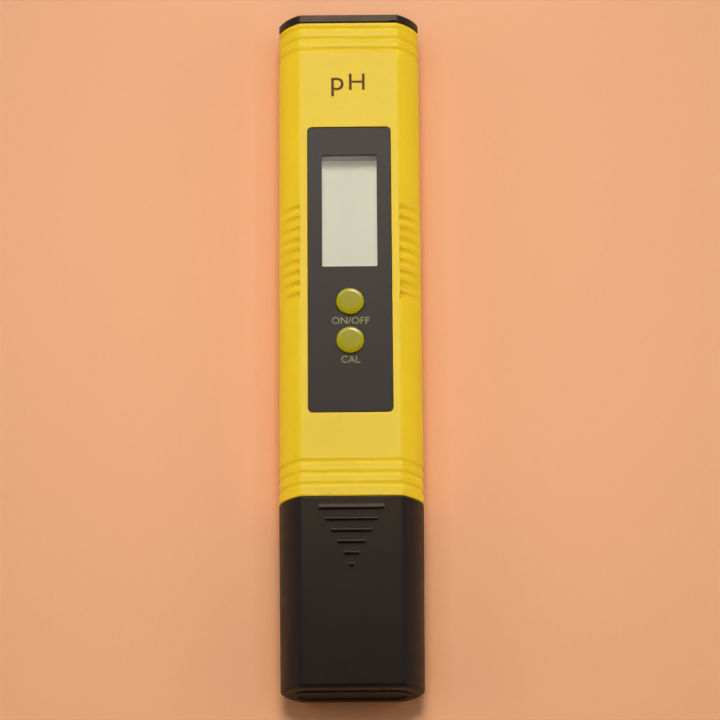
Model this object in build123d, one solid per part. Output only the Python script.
from build123d import *
import math
import os

# A pocket pH meter, lying on its back. Millimetres. X is the width, Y runs along the pen towards its
# battery end, Z is up, out of the face with the display. The origin is the middle of the plane it rests on.

# ---- Driving dimensions ----
LENGTH = 150.0
WIDTH = 30.0
THICKNESS = 12.0
FLAT_WIDTH = 21.06          # the flat front and back faces, between the rounded sides
SIDE_BULGE = 0.66           # how far each side's arc stands out from its chord
CORNER_RADIUS = 1.2         # where a flat face turns into a side
APEX_RADIUS = 0.8           # the side's widest line, where the two shells meet
WALL = 1.6
FIT = 0.05                  # gap between pieces that are fixed together
SLIDE_FIT = 0.12            # gap between pieces that slide
SEAL_GAP = 0.02             # between a rubber ring and the wall it seals
SEAL_ROUNDING = 0.8         # a rubber ring's edge radius, as a share of half its thickness
PAST = 1.0                  # how far a cutting shape runs past the piece it cuts
NEAR = 0.01                 # two places closer than this are the same

TOP_Y = LENGTH / 2
BOTTOM_Y = -LENGTH / 2
BODY_TOP_Y = 73.0           # the yellow body runs between these two
BODY_BOTTOM_Y = -33.9
END_GAP = 0.1               # seam between the body and each black end piece
SEAM_CHAMFER = 0.2

MID_Z = THICKNESS / 2
INNER_FRONT_Z = THICKNESS - WALL
INNER_BACK_Z = WALL

# Grooves moulded into the body
GROOVE_PITCH = 2.46
GROOVE_WIDTH = 1.3
GROOVE_DEPTH = 0.26
GRIP_WIDTH = 1.7
GRIP_DEPTH = 0.9            # at the flat face's edge, and it runs out to nothing at the widest line
GROOVE_SHOULDER = 0.45      # where a groove's side bends, as a share of its half width
GROOVE_SHOULDER_DEPTH = 0.75
END_GROOVES = 3
UPPER_GROOVE_Y = BODY_TOP_Y - 1.4
LOWER_GROOVE_Y = BODY_BOTTOM_Y + 2.55
GRIP_GROOVES = 9
GRIP_CENTRE_Y = 20.3

# The step along both sides where the two shells overlap
LIP_LOW_Y = -19.0
LIP_HIGH_Y = 55.0
LIP_THICKNESS = 0.7
LIP_HEIGHT = 0.8

# Front label, window and display
LABEL_WIDTH = 17.4
LABEL_HEIGHT = 64.0
LABEL_THICKNESS = 0.35
LABEL_RADIUS = 0.9
LABEL_GAP = 0.18            # the open line all round the label
LABEL_Y = 16.47
LABEL_INSET = 0.15          # the label sits this far below the front face
WINDOW_WIDTH = 11.6
WINDOW_HEIGHT = 25.45
WINDOW_RADIUS = 0.25
WINDOW_Y = 29.55
LENS_MARGIN = 1.4
LENS_THICKNESS = 0.65
LCD_WIDTH = 15.0
LCD_HEIGHT = 30.0
LCD_GLASS = 0.9
LCD_LEDGE = 1.2             # the rear glass shows past the front glass by this much at one end
LCD_TOP_Z = THICKNESS - 3.6
FRAME_WALL = 1.5
FRAME_CORNER = 0.5
COLLAR_WALL = 0.65
STRIP_WIDTH = 1.4           # the rubber contact strips under the display's long edges
STRIP_EDGE_GAP = 0.1
STRIP_END_GAP = 0.8

# Buttons
BUTTON_RADIUS = 2.92
BUTTON_PROUD = 0.75
BUTTON_EDGE = 0.2
BUTTON_CROWN_RADIUS = 28.0
BUTTON_TOP_RADIUS = 2.3     # the nearly flat top ends here, and a sloping shoulder runs to the edge
BUTTON_SHOULDER_DROP = 0.28
BUTTON_BEND = 1.2
BUTTON_GAP = 0.08
BUTTON_FLANGE_RADIUS = 3.7
BUTTON_FLANGE = 0.9
BUTTON_HOLE_RADIUS = BUTTON_RADIUS + BUTTON_GAP
BUTTON_STEM_RADIUS = 1.55
ON_OFF_Y = 8.92
CAL_Y = 0.27
BUTTON_TRAVEL = 0.3

# Circuit board
BOARD_WIDTH = 20.0
BOARD_TOP_Y = 50.8
BOARD_BOTTOM_Y = -15.0
BOARD_THICKNESS = 1.0
BOARD_Z = 3.6               # underside
BOARD_FRONT_Z = BOARD_Z + BOARD_THICKNESS
BOARD_CORNER = 1.0
BOARD_HOLE_GAP = 0.15
BOARD_SCREW_X = 8.2
BOARD_SCREW_YS = (48.4, -12.2)
SWITCH_SIZE = 6.0
SWITCH_BASE_HEIGHT = 3.2
SWITCH_COVER = 0.2
SWITCH_CORNER = 0.4
PLUNGER_RADIUS = 1.75
PLUNGER_TOP_Z = 8.9
PLUNGER_WELL = 0.9          # depth of the hole in the switch that the plunger moves in
PLUNGER_SEAT = 0.5          # how deep the plunger stands in that hole at rest
CHIP_COVER_RADIUS = 4.6
CHIP_COVER_HEIGHT = 1.3
CHIP_COVER_Y = 24.0

# Screws
CASE_SCREW_YS = (53.6, -17.8)
CASE_BOSS_RADIUS = 2.2
CASE_BOSS_SPLIT_Z = 4.0
CASE_HEAD_RADIUS = 1.75
CASE_HEAD_Z = 0.45          # the head's outer face, below the back face
CASE_HEAD = 1.1
CASE_SHANK = 7.0
SCREW_RADIUS = 0.8
SCREW_HEAD_ROUNDING = 0.3
SCREW_TIP_CHAMFER = 0.35
SCREW_SLOT_WIDTH = 0.35
SCREW_SLOT_DEPTH = 0.5
SCREW_SLOT_LENGTH = 1.2     # as a share of the head's radius
BOSS_ROOT = 0.6             # plastic left between a screw's hole and the front wall
BOARD_BOSS_RADIUS = 1.8
BOARD_HEAD_RADIUS = 1.6
BOARD_HEAD = 0.95
BOARD_SHANK = 5.0

# Battery end
CELL_RADIUS = 5.75
CELL_HEIGHT = 5.3
CELL_X = 5.85
CELL_Y = 63.2
CELL_Z = 3.3
PLUG_BOTTOM_Y = 69.4
PLUG_ROOT = 0.5             # how far the plug is sunk into the cap's flange
TRAY_BOTTOM_Y = 56.3
TRAY_FLOOR_Z = 2.3
TRAY_FLOOR = 0.7
TRAY_TOP_Z = 8.2
RAIL_X = 7.5                # the two rails in the rear shell that the tray slides on
RAIL_WIDTH = 1.2
RAIL_LOW_Y = 57.0
RAIL_HIGH_Y = 68.5
LINK_PLATE = 0.22
LINK_GAP = 0.5              # between the link strip and its recess, at each edge
CONTACT_X = 4.2
CONTACT_WIDTH = 2.4
CONTACT_THICKNESS = 0.3
END_CAP_EDGE_RADIUS = 0.5
CAP_SEAL_Y = 71.2
CAP_SEAL_RADIUS = 0.55
NOTCH_X = 9.3
NOTCH_WIDTH = 1.7
NOTCH_HEIGHT = 0.35
NOTCH_DEPTH = 0.6

# Probe end
COLLAR_BOTTOM_Y = -41.0
COLLAR_CHAMFER = 0.8
STICK_BOTTOM_Y = -62.0
GUARD_BOTTOM_Y = -69.6
PLUG_TOP_Y = -20.8
STICK_WIDTH = 19.6
STICK_THICKNESS = 7.6
STICK_CORNER = 2.6
GUARD_PRONG = 1.8
GUARD_ROUNDING = 0.8
CHAMBER_WIDTH = 8.6
CHAMBER_HEIGHT = 5.4
CHAMBER_X = -0.6
CHAMBER_BOTTOM_Y = -60.0
POTTING_BOTTOM_Y = -24.5
POTTING_WIDTH = 20.0
POTTING_THICKNESS = 6.0
POTTING_CORNER = 1.0
POTTING_TOP_Y = PLUG_TOP_Y - 0.3
GLASS_RADIUS = 2.5
GLASS_WALL = 0.5
GLASS_TOP_Y = -27.0
STOPPER_LENGTH = 3.0
BULB_RADIUS = 3.3
BULB_Y = -64.8
SENSOR_X = 5.7
SENSOR_RADIUS = 1.2
SENSOR_TIP_Y = -67.8
JUNCTION_X = -3.16
JUNCTION_RADIUS = 0.46
JUNCTION_FIT = 0.01
JUNCTION_BOTTOM_Y = -62.25
JUNCTION_TOP_Y = -59.7
INNER_WIRE_RADIUS = 0.3
INNER_WIRE_TIP_Y = BULB_Y - 0.8
REFERENCE_WIRE_RADIUS = 0.25
REFERENCE_WIRE_X = -3.5
REFERENCE_WIRE_TIP_Y = CHAMBER_BOTTOM_Y + 3.0
WIRE_END_Y = -12.4          # where the cable and the sensor wires meet the board
CABLE_RADIUS = 0.75
CABLE_X = -5.2
CABLE_SIDESTEP = 0.6
SENSOR_WIRE_RADIUS = 0.32
SENSOR_WIRE_X = 5.0
SENSOR_WIRE_SPREAD = 0.45
NECK_SEAL_Y = -37.2
NECK_SEAL_RADIUS = 0.5
RETAINING_RIB_Y = -26.3
RETAINING_RIB_WIDTH = 1.3
RETAINING_RIB_DEPTH = 0.65

# Protective cap
CAP_MOUTH_Y = BODY_BOTTOM_Y - END_GAP
CAP_EDGE_RADIUS = 0.9
CAP_END_SIDE_TAPER = 0.3    # per side, over the cap's length
CAP_END_FACE_TAPER = 0.12
CAP_CAVITY_INSET = 1.9
CAP_END_WALL = 2.2
COLLAR_INSET = CAP_CAVITY_INSET + 0.18
BAR_COUNT = 6
BAR_PITCH = 2.43
BAR_FIRST_Y = -36.15
BAR_LONGEST = 13.5
BAR_STEP = 2.6              # each bar is shorter than the one above by this much
BAR_WIDTH = 1.0
BAR_HEIGHT = 0.6
BAR_ROOT = 0.5              # how far a bar reaches down into the cap's wall
END_RIM_WIDTH = 23.8        # a low rim stands on the closed end
END_RIM_HEIGHT = 6.4
END_RIM_WALL = 0.7
END_RIM_PROUD = 0.3
CAP_END_Y = BOTTOM_Y + END_RIM_PROUD
SPONGE_WIDTH = 22.0
SPONGE_HEIGHT = 7.0
SPONGE_CORNER = 2.0
SPONGE_GAP = 0.5            # between the sponge and the tip of the bulb's guard


# ---- Shared shapes ----
def section_plane(y):
    """A plane across the pen at y, on which a sketch's x and y are the pen's X and Z."""
    return Plane(origin=(0, y, 0), x_dir=(1, 0, 0), z_dir=(0, -1, 0))


def prism(sketch, y_low, y_high):
    """A cross-section sketch carried along the pen from y_low to y_high."""
    return extrude(section_plane(y_high) * sketch, amount=y_high - y_low)


def side_arc(start, end):
    """An arc between two section points that stands out from its chord, away from the middle."""
    middle = (Vector(*start) + Vector(*end)) / 2
    along = Vector(*end) - Vector(*start)
    across = Vector(along.Y, -along.X).normalized()
    if across.dot(Vector(middle.X, 0)) < 0:
        across = -across
    return ThreePointArc(start, middle + across * SIDE_BULGE, end)


def outline(side_taper=0.0, face_taper=0.0):
    """The pen's cross-section as a face: flat front and back, with a bulging side at each hand."""
    flat, half = FLAT_WIDTH / 2, WIDTH / 2 - side_taper
    front, back = THICKNESS - face_taper, face_taper
    edges = Curve() + [
        Line((-flat, front), (flat, front)),
        side_arc((flat, front), (half, MID_Z)),
        side_arc((half, MID_Z), (flat, back)),
        Line((flat, back), (-flat, back)),
        side_arc((-flat, back), (-half, MID_Z)),
        side_arc((-half, MID_Z), (-flat, front)),
    ]
    face = make_face(edges)
    apexes = [v for v in face.vertices() if abs(v.Y - MID_Z) < NEAR]
    face = fillet(apexes, APEX_RADIUS)
    corners = [v for v in face.vertices() if abs(abs(v.X) - flat) < NEAR]
    return fillet(corners, CORNER_RADIUS)


def inset(amount):
    """The cross-section, drawn in by amount all round."""
    return offset(outline(), amount=-amount) if amount else outline()


def flattened(amount):
    """The cross-section with its front and back drawn in by amount, and as wide as before."""
    return outline(face_taper=amount)


def plate(width, height, z_low, z_high, centre=(0, 0), radius=0.0):
    """A flat plate parallel to the front face, with rounded corners if radius is given."""
    shape = RectangleRounded(width, height, radius) if radius else Rectangle(width, height)
    return extrude(Pos(centre[0], centre[1], z_low) * shape, amount=z_high - z_low)


def disc(radius, z_low, z_high, centre=(0, 0)):
    """A round post or hole square to the front face."""
    return extrude(Pos(centre[0], centre[1], z_low) * Circle(radius), amount=z_high - z_low)


def rod(radius, y_low, y_high, x=0.0, z=MID_Z):
    """A round rod or bore along the pen."""
    return prism(Pos(x, z) * Circle(radius), y_low, y_high)


def seal_ring(outer_inset, y, radius):
    """A rubber ring that follows the cross-section, with its outer edge drawn in by outer_inset."""
    ring = inset(outer_inset) - inset(outer_inset + 2 * radius)
    ring = prism(ring, y - radius, y + radius)
    loops = ring.faces().filter_by(Axis.Y).edges()
    return fillet(loops, SEAL_ROUNDING * radius)


def front_of(shape):
    return shape & Pos(0, 0, MID_Z + THICKNESS) * Box(2 * WIDTH, 2 * LENGTH, 2 * THICKNESS)


def back_of(shape):
    return shape & Pos(0, 0, MID_Z - THICKNESS) * Box(2 * WIDTH, 2 * LENGTH, 2 * THICKNESS)


def bent_tube(points, radius):
    """A round wire through points, starting and ending along the pen."""
    path = Spline(*points, tangents=[(0, 1, 0), (0, 1, 0)])
    return sweep(Plane(origin=path @ 0, z_dir=path % 0) * Circle(radius), path=path)


# ---- Yellow body ----
def end_groove_ys():
    upper = [UPPER_GROOVE_Y - i * GROOVE_PITCH for i in range(END_GROOVES)]
    lower = [LOWER_GROOVE_Y + i * GROOVE_PITCH for i in range(END_GROOVES)]
    return upper + lower


def groove_cutter(y, width, depth, section):
    """A ring that cuts a soft-sided groove: a slab less a waist, where section(depth) gives its outline."""
    half = width / 2
    shoulder = half * GROOVE_SHOULDER
    steps = [(-half, 0), (-shoulder, depth * GROOVE_SHOULDER_DEPTH), (0, depth),
             (shoulder, depth * GROOVE_SHOULDER_DEPTH), (half, 0)]
    waist = loft([section_plane(y + along) * section(deep) for along, deep in steps], ruled=True)
    return prism(offset(outline(), amount=PAST), y - half, y + half) - waist


def grip_cutter(y):
    """The cutter for one row of finger grooves, which leave the flat faces whole."""
    flats = Box(FLAT_WIDTH, GROOVE_PITCH, 4 * THICKNESS)
    return groove_cutter(y, GRIP_WIDTH, GRIP_DEPTH, flattened) - Pos(0, y, MID_Z) * flats


def body_outside():
    """The body's outer form as one block, with its grooves."""
    block = prism(outline(), BODY_BOTTOM_Y, BODY_TOP_Y)
    ends = block.faces().filter_by(Axis.Y).edges()
    block = chamfer(ends, SEAM_CHAMFER)
    for y in end_groove_ys():
        block -= groove_cutter(y, GROOVE_WIDTH, GROOVE_DEPTH, inset)
    first = GRIP_CENTRE_Y - GROOVE_PITCH * (GRIP_GROOVES - 1) / 2
    for i in range(GRIP_GROOVES):
        block -= grip_cutter(first + i * GROOVE_PITCH)
    return block


def body_tube():
    """The body hollowed out, with the inner rib that holds the probe housing."""
    tube = body_outside() - prism(inset(WALL), BODY_BOTTOM_Y - PAST, BODY_TOP_Y + PAST)
    rib = inset(WALL) - inset(WALL + RETAINING_RIB_DEPTH)
    half = RETAINING_RIB_WIDTH / 2
    return tube + prism(rib, RETAINING_RIB_Y - half, RETAINING_RIB_Y + half)


def shell_lip(gap):
    """The step along both sides where the shells overlap, grown by gap for the slot it fits."""
    ring = inset(WALL - LIP_THICKNESS - gap) - inset(WALL + gap)
    bar = prism(ring, LIP_LOW_Y - gap, LIP_HIGH_Y + gap)
    reach = LIP_HEIGHT + gap
    return bar & Pos(0, 0, MID_Z + reach / 2) * Box(2 * WIDTH, 2 * LENGTH, reach)


def board_screw_spots():
    return [(side * BOARD_SCREW_X, y) for y in BOARD_SCREW_YS for side in (-1, 1)]


def front_shell(tube):
    shell = front_of(tube) - shell_lip(FIT)
    floor_z = THICKNESS - LABEL_INSET - LABEL_THICKNESS
    label_size = [size + 2 * LABEL_GAP for size in (LABEL_WIDTH, LABEL_HEIGHT)]
    shell -= plate(*label_size, floor_z, THICKNESS + PAST, (0, LABEL_Y), LABEL_RADIUS + LABEL_GAP)
    lens_z = floor_z - LENS_THICKNESS
    lens_size = [size + 2 * LENS_MARGIN + 2 * FIT for size in (WINDOW_WIDTH, WINDOW_HEIGHT)]
    shell -= plate(*lens_size, lens_z, THICKNESS, (0, WINDOW_Y))
    opening = [size + 2 * COLLAR_WALL + 4 * FIT for size in (WINDOW_WIDTH, WINDOW_HEIGHT)]
    shell -= plate(*opening, INNER_FRONT_Z - PAST, THICKNESS, (0, WINDOW_Y))
    for y in (ON_OFF_Y, CAL_Y):
        shell -= disc(BUTTON_HOLE_RADIUS, INNER_FRONT_Z - PAST, THICKNESS + PAST, (0, y))
    hole_end = INNER_FRONT_Z - BOSS_ROOT
    for y in CASE_SCREW_YS:
        shell += disc(CASE_BOSS_RADIUS, CASE_BOSS_SPLIT_Z, INNER_FRONT_Z + FIT, (0, y))
        shell -= disc(SCREW_RADIUS + FIT, CASE_BOSS_SPLIT_Z - PAST, hole_end, (0, y))
    for spot in board_screw_spots():
        shell += disc(BOARD_BOSS_RADIUS, BOARD_FRONT_Z + FIT, INNER_FRONT_Z + FIT, spot)
        shell -= disc(SCREW_RADIUS + FIT, BOARD_FRONT_Z - PAST, hole_end, spot)
    return shell


def rear_shell(tube):
    shell = back_of(tube) + shell_lip(0)
    head_z = CASE_HEAD_Z + CASE_HEAD
    for y in CASE_SCREW_YS:
        shell += disc(CASE_BOSS_RADIUS, INNER_BACK_Z - FIT, CASE_BOSS_SPLIT_Z - FIT, (0, y))
        shell -= disc(SCREW_RADIUS + 2 * FIT, -PAST, CASE_BOSS_SPLIT_Z + PAST, (0, y))
        shell -= disc(CASE_HEAD_RADIUS + SLIDE_FIT, -PAST, head_z + FIT, (0, y))
    for side in (-1, 1):
        middle_y = (RAIL_LOW_Y + RAIL_HIGH_Y) / 2
        shell += plate(RAIL_WIDTH, RAIL_HIGH_Y - RAIL_LOW_Y, INNER_BACK_Z - FIT, TRAY_FLOOR_Z - FIT,
                       (side * RAIL_X, middle_y))
    return shell


def pan_screw(head_radius, head_height, shank_length):
    """A self-tapping screw with its head at the origin, pointing up +Z, with a cross in its head."""
    head = disc(head_radius, 0, head_height)
    head = fillet(head.faces().sort_by(Axis.Z)[0].edges(), SCREW_HEAD_ROUNDING)
    for angle in (0, 90):
        arm = Box(head_radius * SCREW_SLOT_LENGTH, SCREW_SLOT_WIDTH, 2 * SCREW_SLOT_DEPTH)
        head -= Rot(0, 0, angle) * arm
    shank = disc(SCREW_RADIUS, head_height, head_height + shank_length)
    return head + chamfer(shank.faces().sort_by(Axis.Z)[-1].edges(), SCREW_TIP_CHAMFER)


def case_screws():
    return [Pos(0, y, CASE_HEAD_Z) * pan_screw(CASE_HEAD_RADIUS, CASE_HEAD, CASE_SHANK)
            for y in CASE_SCREW_YS]


def board_screws():
    return [Pos(x, y, BOARD_Z - BOARD_HEAD) * pan_screw(BOARD_HEAD_RADIUS, BOARD_HEAD, BOARD_SHANK)
            for x, y in board_screw_spots()]


# ---- Front label, window and display ----
def front_label():
    high = THICKNESS - LABEL_INSET
    label = plate(LABEL_WIDTH, LABEL_HEIGHT, high - LABEL_THICKNESS, high, (0, LABEL_Y), LABEL_RADIUS)
    label -= plate(WINDOW_WIDTH, WINDOW_HEIGHT, 0, THICKNESS, (0, WINDOW_Y), WINDOW_RADIUS)
    for y in (ON_OFF_Y, CAL_Y):
        label -= disc(BUTTON_HOLE_RADIUS, 0, THICKNESS, (0, y))
    return label


def window_lens():
    high = THICKNESS - LABEL_INSET - LABEL_THICKNESS
    size = [side + 2 * LENS_MARGIN for side in (WINDOW_WIDTH, WINDOW_HEIGHT)]
    return plate(*size, high - LENS_THICKNESS, high, (0, WINDOW_Y))


def lcd_frame():
    """The grey holder that lines the window and presses the display onto the board."""
    lens_z = THICKNESS - LABEL_INSET - LABEL_THICKNESS - LENS_THICKNESS
    middle = (0, WINDOW_Y)
    outer = [side + 2 * FRAME_WALL for side in (LCD_WIDTH, LCD_HEIGHT)]
    collar = [side + 2 * COLLAR_WALL for side in (WINDOW_WIDTH, WINDOW_HEIGHT)]
    pocket = [side + 4 * FIT for side in (LCD_WIDTH, LCD_HEIGHT)]
    frame = plate(*outer, BOARD_FRONT_Z, INNER_FRONT_Z - FIT, middle, FRAME_CORNER)
    frame += plate(*collar, INNER_FRONT_Z - PAST, lens_z - FIT, middle)
    frame -= plate(*pocket, BOARD_FRONT_Z - PAST, LCD_TOP_Z, middle)
    opening = [side + 2 * FIT for side in (WINDOW_WIDTH, WINDOW_HEIGHT)]
    return frame - plate(*opening, BOARD_FRONT_Z, THICKNESS, middle)


def lcd_front_glass():
    height = LCD_HEIGHT - LCD_LEDGE
    high = LCD_TOP_Z - FIT
    return plate(LCD_WIDTH, height, high - LCD_GLASS, high, (0, WINDOW_Y + LCD_LEDGE / 2))


def lcd_rear_glass():
    high = LCD_TOP_Z - FIT - LCD_GLASS
    return plate(LCD_WIDTH, LCD_HEIGHT, high - LCD_GLASS, high, (0, WINDOW_Y))


def lcd_contact_strips():
    """The two striped rubber strips that join the display's edges to the board."""
    high = LCD_TOP_Z - FIT - 2 * LCD_GLASS
    x = (LCD_WIDTH - STRIP_WIDTH) / 2 - STRIP_EDGE_GAP
    length = LCD_HEIGHT - 2 * STRIP_END_GAP
    return [plate(STRIP_WIDTH, length, BOARD_FRONT_Z, high, (side * x, WINDOW_Y)) for side in (-1, 1)]


# ---- Buttons and switches ----
def crown_z(radius):
    """The height of a button's domed top at a distance from its axis."""
    top_z = THICKNESS - LABEL_INSET + BUTTON_PROUD
    return top_z - BUTTON_CROWN_RADIUS + math.sqrt(BUTTON_CROWN_RADIUS**2 - radius**2)


def button(y):
    """A domed key with a flange that stops it falling out of the shell."""
    flange_top = INNER_FRONT_Z - 2 * FIT
    flange_low = flange_top - BUTTON_FLANGE
    bend = (BUTTON_TOP_RADIUS, crown_z(BUTTON_TOP_RADIUS))
    half_way = (BUTTON_TOP_RADIUS / 2, crown_z(BUTTON_TOP_RADIUS / 2))
    rim = (BUTTON_RADIUS, crown_z(BUTTON_TOP_RADIUS) - BUTTON_SHOULDER_DROP)
    outline_edges = Curve() + [
        Line((0, flange_low), (BUTTON_RADIUS, flange_low)),
        Line((BUTTON_RADIUS, flange_low), rim),
        Line(rim, bend),
        ThreePointArc(bend, half_way, (0, crown_z(0))),
        Line((0, crown_z(0)), (0, flange_low)),
    ]
    profile = make_face(outline_edges)
    for corner, radius in ((rim, BUTTON_EDGE), (bend, BUTTON_BEND)):
        near = [v for v in profile.vertices() if math.dist((v.X, v.Y), corner) < NEAR]
        profile = fillet(near, radius)
    key = Pos(0, y, 0) * revolve(Plane.XZ * profile, axis=Axis.Z)
    key += disc(BUTTON_FLANGE_RADIUS, flange_low, flange_top, (0, y))
    return key + disc(BUTTON_STEM_RADIUS, PLUNGER_TOP_Z, flange_low, (0, y))


def switch_bases():
    top = BOARD_FRONT_Z + SWITCH_BASE_HEIGHT
    bases = []
    for y in (ON_OFF_Y, CAL_Y):
        base = plate(SWITCH_SIZE, SWITCH_SIZE, BOARD_FRONT_Z, top, (0, y), SWITCH_CORNER)
        bases.append(base - disc(PLUNGER_RADIUS + SLIDE_FIT, top - PLUNGER_WELL, top + PAST, (0, y)))
    return bases


def switch_covers():
    low = BOARD_FRONT_Z + SWITCH_BASE_HEIGHT
    covers = []
    for y in (ON_OFF_Y, CAL_Y):
        cover = plate(SWITCH_SIZE, SWITCH_SIZE, low, low + SWITCH_COVER, (0, y), SWITCH_CORNER)
        covers.append(cover - disc(PLUNGER_RADIUS + SLIDE_FIT, low - PAST, low + PAST, (0, y)))
    return covers


def switch_plunger(y):
    low = BOARD_FRONT_Z + SWITCH_BASE_HEIGHT - PLUNGER_SEAT
    return disc(PLUNGER_RADIUS, low, PLUNGER_TOP_Z, (0, y))


# ---- Circuit board ----
def circuit_board():
    height = BOARD_TOP_Y - BOARD_BOTTOM_Y
    middle = (0, (BOARD_TOP_Y + BOARD_BOTTOM_Y) / 2)
    board = plate(BOARD_WIDTH, height, BOARD_Z, BOARD_FRONT_Z, middle, BOARD_CORNER)
    for spot in board_screw_spots():
        board -= disc(SCREW_RADIUS + BOARD_HOLE_GAP, 0, THICKNESS, spot)
    return board


def processor_cover():
    """The drop of black resin over the processor, on the board's back."""
    sphere_radius = (CHIP_COVER_RADIUS**2 + CHIP_COVER_HEIGHT**2) / (2 * CHIP_COVER_HEIGHT)
    centre_z = BOARD_Z - CHIP_COVER_HEIGHT + sphere_radius
    ball = Pos(0, CHIP_COVER_Y, centre_z) * Sphere(sphere_radius)
    return ball & Pos(0, CHIP_COVER_Y, BOARD_Z / 2) * Box(BOARD_WIDTH, BOARD_WIDTH, BOARD_Z)


def amplifier_chip():
    """An eight-legged amplifier below the buttons, on the board's front."""
    width, height, thickness, y = 4.0, 5.0, 1.4, -8.6
    leg_rows, leg_pitch, leg_width, leg_thickness, leg_reach = 4, 1.27, 0.4, 0.3, 1.0
    low = BOARD_FRONT_Z + leg_thickness / 2
    chip = plate(width, height, low, low + thickness, (0, y))
    for row in range(leg_rows):
        leg_y = y + (row - (leg_rows - 1) / 2) * leg_pitch
        leg_top = BOARD_FRONT_Z + leg_thickness
        chip += plate(width + 2 * leg_reach, leg_width, BOARD_FRONT_Z, leg_top, (0, leg_y))
    return chip


def clock_crystal():
    """The small metal can that sets the processor's clock, lying on the board's back."""
    radius, length, rim, x, low_y = 0.9, 6.0, 0.2, 6.6, 18.0
    return fillet(rod(radius, low_y, low_y + length, x, BOARD_Z - radius).edges(), rim)


def chip_parts():
    """Small resistors and capacitors in two rows on the board's back, and two beside the amplifier."""
    length, width, height = 2.0, 1.2, 0.7
    row_xs, rows, first_y, pitch = (-6.6, 0.0), 5, 2.0, 2.9
    front_x, front_y = 8.4, -5.6
    parts = [plate(length, width, BOARD_Z - height, BOARD_Z, (x, first_y + pitch * row))
             for x in row_xs for row in range(rows)]
    for side in (-1, 1):
        spot = (side * front_x, front_y)
        parts.append(plate(width, length, BOARD_FRONT_Z, BOARD_FRONT_Z + height, spot))
    return parts


def battery_contact(side):
    """A bent spring strip from the board's top edge out over one cell."""
    foot_y, riser_y, tip_y = 47.2, 50.2, 62.6
    low, high, t = BOARD_FRONT_Z, CELL_Z + CELL_HEIGHT + FIT, CONTACT_THICKNESS
    points = [(foot_y, low), (riser_y + t, low), (riser_y + t, high), (tip_y, high),
              (tip_y, high + t), (riser_y, high + t), (riser_y, low + t), (foot_y, low + t)]
    profile = make_face(Polyline(*points, close=True))
    across = Plane(origin=(side * CONTACT_X - CONTACT_WIDTH / 2, 0, 0), x_dir=(0, 1, 0), z_dir=(1, 0, 0))
    return extrude(across * profile, amount=CONTACT_WIDTH)


# ---- Battery end ----
def seal_groove(outer_inset, y, radius):
    """A square groove for the rubber ring of the same outer inset and radius."""
    ring = offset(outline(), amount=PAST) - inset(outer_inset + 2 * radius + FIT)
    return prism(ring, y - radius - FIT, y + radius + FIT)


def battery_cap():
    """The black end cap, with a plug that pushes into the body and a notch to lift it by."""
    flange = prism(outline(), BODY_TOP_Y + END_GAP, TOP_Y)
    flange = fillet(flange.faces().sort_by(Axis.Y)[-1].edges(), END_CAP_EDGE_RADIUS)
    flange = chamfer(flange.faces().sort_by(Axis.Y)[0].edges(), SEAM_CHAMFER)
    notch_y = BODY_TOP_Y + END_GAP + NOTCH_HEIGHT / 2
    flange -= Pos(NOTCH_X, notch_y, THICKNESS) * Box(NOTCH_WIDTH, NOTCH_HEIGHT, 2 * NOTCH_DEPTH)
    plug = prism(inset(WALL + SLIDE_FIT), PLUG_BOTTOM_Y, BODY_TOP_Y + END_GAP + PLUG_ROOT)
    plug -= seal_groove(WALL + SEAL_GAP, CAP_SEAL_Y, CAP_SEAL_RADIUS)
    return flange + plug


def battery_seal():
    return seal_ring(WALL + SEAL_GAP, CAP_SEAL_Y, CAP_SEAL_RADIUS)


def battery_tray():
    """The tray that carries both cells, fixed to the cap's plug."""
    height = PLUG_BOTTOM_Y - TRAY_BOTTOM_Y
    middle = (0, (PLUG_BOTTOM_Y + TRAY_BOTTOM_Y) / 2)
    tray = plate(WIDTH, height, TRAY_FLOOR_Z, TRAY_TOP_Z, middle)
    tray &= prism(inset(WALL + 2 * SLIDE_FIT), TRAY_BOTTOM_Y, PLUG_BOTTOM_Y)
    floor = TRAY_FLOOR_Z + TRAY_FLOOR
    for side in (-1, 1):
        tray -= disc(CELL_RADIUS + SLIDE_FIT, floor, THICKNESS, (side * CELL_X, CELL_Y))
    return tray - plate(2 * CELL_X, CELL_RADIUS, floor, floor + LINK_PLATE + FIT, (0, CELL_Y))


def cell_link():
    """The strip under the cells that joins them in series."""
    low = TRAY_FLOOR_Z + TRAY_FLOOR
    width, height = 2 * CELL_X - 2 * LINK_GAP, CELL_RADIUS - 2 * LINK_GAP
    return plate(width, height, low, low + LINK_PLATE, (0, CELL_Y))


def button_cell():
    """A button cell at the origin, standing on its flat can, with the smaller pole upwards."""
    pole_radius, pole_height, rim = 4.4, 0.5, 0.35
    can = disc(CELL_RADIUS, 0, CELL_HEIGHT - pole_height)
    can = fillet(can.edges(), rim)
    return can + disc(pole_radius, CELL_HEIGHT - pole_height - rim, CELL_HEIGHT)


def left_cell():
    return Pos(-CELL_X, CELL_Y, CELL_Z) * button_cell()


def right_cell():
    return Pos(CELL_X, CELL_Y, CELL_Z + CELL_HEIGHT) * (Rot(180, 0, 0) * button_cell())


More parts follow.
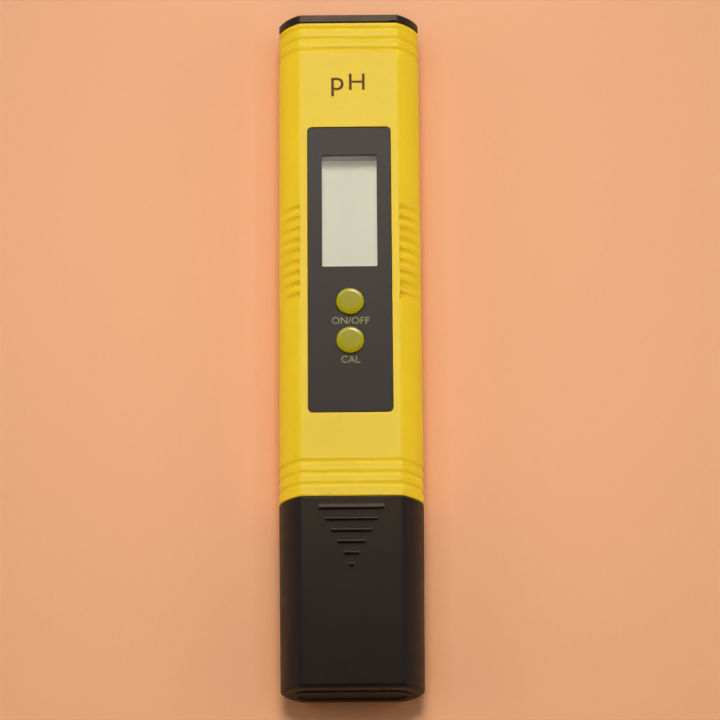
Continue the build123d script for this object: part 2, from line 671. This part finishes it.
# ---- Probe end ----
def probe_housing():
    """The black moulding that plugs into the body, holds the electrode and guards its bulb."""
    plug = prism(inset(WALL + FIT), BODY_BOTTOM_Y, PLUG_TOP_Y)
    groove = inset(WALL) - inset(WALL + RETAINING_RIB_DEPTH + FIT)
    half = RETAINING_RIB_WIDTH / 2 + FIT
    plug -= prism(groove, RETAINING_RIB_Y - half, RETAINING_RIB_Y + half)
    collar = prism(inset(COLLAR_INSET), COLLAR_BOTTOM_Y, BODY_BOTTOM_Y + PAST)
    collar -= seal_groove(CAP_CAVITY_INSET + SEAL_GAP, NECK_SEAL_Y, NECK_SEAL_RADIUS)
    collar = chamfer(collar.faces().sort_by(Axis.Y)[0].edges(), COLLAR_CHAMFER)
    bar = Pos(0, MID_Z) * RectangleRounded(STICK_WIDTH, STICK_THICKNESS, STICK_CORNER)
    stick = prism(bar, GUARD_BOTTOM_Y, COLLAR_BOTTOM_Y + PAST)
    stick = fillet(stick.faces().sort_by(Axis.Y)[0].edges(), GUARD_ROUNDING)
    gap_width = STICK_WIDTH - 2 * GUARD_PRONG
    gap_height = STICK_BOTTOM_Y - GUARD_BOTTOM_Y
    stick -= Pos(0, STICK_BOTTOM_Y - gap_height / 2, MID_Z) * Box(gap_width, gap_height, 2 * THICKNESS)
    housing = plug + collar + stick
    chamber = Pos(CHAMBER_X, MID_Z) * SlotOverall(CHAMBER_WIDTH, CHAMBER_HEIGHT)
    housing -= prism(chamber, CHAMBER_BOTTOM_Y, POTTING_BOTTOM_Y)
    low, chamber_floor = STICK_BOTTOM_Y - PAST, CHAMBER_BOTTOM_Y + PAST
    housing -= rod(GLASS_RADIUS + FIT, low, chamber_floor)
    housing -= rod(SENSOR_RADIUS + FIT, low, POTTING_BOTTOM_Y + PAST, SENSOR_X)
    housing -= rod(JUNCTION_RADIUS + JUNCTION_FIT, low, chamber_floor, JUNCTION_X)
    pocket = Pos(0, MID_Z) * RectangleRounded(POTTING_WIDTH, POTTING_THICKNESS, POTTING_CORNER)
    return housing - prism(pocket, POTTING_BOTTOM_Y, PLUG_TOP_Y + PAST)


def neck_seal():
    return seal_ring(CAP_CAVITY_INSET + SEAL_GAP, NECK_SEAL_Y, NECK_SEAL_RADIUS)


def potting():
    """The resin that seals the top of the electrode, with the sensor and wires coming out of it."""
    width, thickness = POTTING_WIDTH - 2 * FIT, POTTING_THICKNESS - 2 * FIT
    block = Pos(0, MID_Z) * RectangleRounded(width, thickness, POTTING_CORNER - FIT)
    return prism(block, POTTING_BOTTOM_Y, POTTING_TOP_Y)


def glass_electrode():
    """A thin glass tube, blown out to a bulb at its lower end and open at its top."""
    tube = rod(GLASS_RADIUS, BULB_Y, GLASS_TOP_Y) + Pos(0, BULB_Y, MID_Z) * Sphere(BULB_RADIUS)
    inner_bulb = Pos(0, BULB_Y, MID_Z) * Sphere(BULB_RADIUS - GLASS_WALL)
    return tube - (rod(GLASS_RADIUS - GLASS_WALL, BULB_Y, GLASS_TOP_Y + PAST) + inner_bulb)


def electrode_stopper():
    """The rubber stopper in the top of the glass, with the inner wire through it."""
    low_y = GLASS_TOP_Y - STOPPER_LENGTH
    plug = rod(GLASS_RADIUS - GLASS_WALL - FIT / 2, low_y, GLASS_TOP_Y)
    return plug - rod(INNER_WIRE_RADIUS + FIT / 2, low_y - PAST, GLASS_TOP_Y + PAST)


def inner_wire():
    return rod(INNER_WIRE_RADIUS, INNER_WIRE_TIP_Y, POTTING_BOTTOM_Y)


def reference_wire():
    return rod(REFERENCE_WIRE_RADIUS, REFERENCE_WIRE_TIP_Y, POTTING_BOTTOM_Y, REFERENCE_WIRE_X)


def reference_junction():
    """The porous pin that lets the reference solution meet the sample."""
    return rod(JUNCTION_RADIUS, JUNCTION_BOTTOM_Y, JUNCTION_TOP_Y, JUNCTION_X)


def temperature_sensor():
    """A steel tube with a round closed tip, for the temperature correction."""
    tube = rod(SENSOR_RADIUS, SENSOR_TIP_Y + SENSOR_RADIUS, POTTING_BOTTOM_Y, SENSOR_X)
    tip = Pos(SENSOR_X, SENSOR_TIP_Y + SENSOR_RADIUS, MID_Z) * Sphere(SENSOR_RADIUS)
    return tube + tip


def signal_cable():
    """The screened cable from the electrode to the amplifier."""
    end_z = BOARD_FRONT_Z + CABLE_RADIUS + FIT
    start = (CABLE_X + CABLE_SIDESTEP, POTTING_TOP_Y, MID_Z)
    return bent_tube([start, (CABLE_X, WIRE_END_Y, end_z)], CABLE_RADIUS)


def sensor_wires():
    end_z = BOARD_FRONT_Z + SENSOR_WIRE_RADIUS + FIT
    xs = [SENSOR_WIRE_X + side * SENSOR_WIRE_SPREAD for side in (-1, 1)]
    return [bent_tube([(x, POTTING_TOP_Y, MID_Z), (x, WIRE_END_Y, end_z)], SENSOR_WIRE_RADIUS)
            for x in xs]


# ---- Protective cap ----
def bar_on_cap(index):
    """One of the raised bars that together point to the cap's closed end. Its lower side is steep."""
    length = max(BAR_LONGEST - index * BAR_STEP, BAR_WIDTH)
    y = BAR_FIRST_Y - index * BAR_PITCH
    half, blunt = BAR_WIDTH / 2, BAR_WIDTH / 6
    ramp = make_face(Polyline((half, -BAR_ROOT), (half, 0), (blunt - half, BAR_HEIGHT),
                              (-half, BAR_HEIGHT - blunt), (-half, -BAR_ROOT), close=True))
    across = Plane(origin=(-length / 2, y, THICKNESS), x_dir=(0, 1, 0), z_dir=(1, 0, 0))
    return extrude(across * ramp, amount=length)


def protective_cap():
    mouth = section_plane(CAP_MOUTH_Y) * outline()
    end = section_plane(CAP_END_Y) * outline(CAP_END_SIDE_TAPER, CAP_END_FACE_TAPER)
    cap = loft([mouth, end], ruled=True)
    cap = fillet(cap.faces().sort_by(Axis.Y)[0].edges(), CAP_EDGE_RADIUS)
    cap = chamfer(cap.faces().sort_by(Axis.Y)[-1].edges(), SEAM_CHAMFER)
    for index in range(BAR_COUNT):
        cap += bar_on_cap(index)
    cap -= prism(inset(CAP_CAVITY_INSET), BOTTOM_Y + CAP_END_WALL, CAP_MOUTH_Y + PAST)
    rim = SlotOverall(END_RIM_WIDTH, END_RIM_HEIGHT)
    rim -= SlotOverall(END_RIM_WIDTH - 2 * END_RIM_WALL, END_RIM_HEIGHT - 2 * END_RIM_WALL)
    cap += prism(Pos(0, MID_Z) * rim, BOTTOM_Y, CAP_END_Y + END_RIM_PROUD)
    return cap


def storage_sponge():
    """The pad that keeps the bulb damp, pressed into the bottom of the cap."""
    pad = Pos(0, MID_Z) * RectangleRounded(SPONGE_WIDTH, SPONGE_HEIGHT, SPONGE_CORNER)
    return prism(pad, BOTTOM_Y + CAP_END_WALL + FIT, GUARD_BOTTOM_Y - SPONGE_GAP)


def all_nodes():
    tube = body_tube()
    return {
        "front_shell": front_shell(tube),
        "rear_shell": rear_shell(tube),
        "case_screws": case_screws(),
        "front_label": front_label(),
        "window_lens": window_lens(),
        "lcd_frame": lcd_frame(),
        "lcd_front_glass": lcd_front_glass(),
        "lcd_rear_glass": lcd_rear_glass(),
        "lcd_contact_strips": lcd_contact_strips(),
        "on_off_button": button(ON_OFF_Y),
        "cal_button": button(CAL_Y),
        "on_off_plunger": switch_plunger(ON_OFF_Y),
        "cal_plunger": switch_plunger(CAL_Y),
        "switch_bases": switch_bases(),
        "switch_covers": switch_covers(),
        "circuit_board": circuit_board(),
        "processor_cover": processor_cover(),
        "amplifier_chip": amplifier_chip(),
        "clock_crystal": clock_crystal(),
        "chip_parts": chip_parts(),
        "board_screws": board_screws(),
        "positive_contact": battery_contact(1),
        "negative_contact": battery_contact(-1),
        "battery_cap": battery_cap(),
        "battery_seal": battery_seal(),
        "battery_tray": battery_tray(),
        "cell_link": cell_link(),
        "left_cell": left_cell(),
        "right_cell": right_cell(),
        "probe_housing": probe_housing(),
        "neck_seal": neck_seal(),
        "potting": potting(),
        "glass_electrode": glass_electrode(),
        "electrode_stopper": electrode_stopper(),
        "inner_wire": inner_wire(),
        "reference_wire": reference_wire(),
        "reference_junction": reference_junction(),
        "temperature_sensor": temperature_sensor(),
        "signal_cable": signal_cable(),
        "sensor_wires": sensor_wires(),
        "protective_cap": protective_cap(),
        "storage_sponge": storage_sponge(),
    }


os.makedirs("parts", exist_ok=True)
for node, shape in all_nodes().items():
    solids = shape if isinstance(shape, list) else [shape]
    export_step(Compound([solid for item in solids for solid in item.solids()]), f"parts/{node}.step")
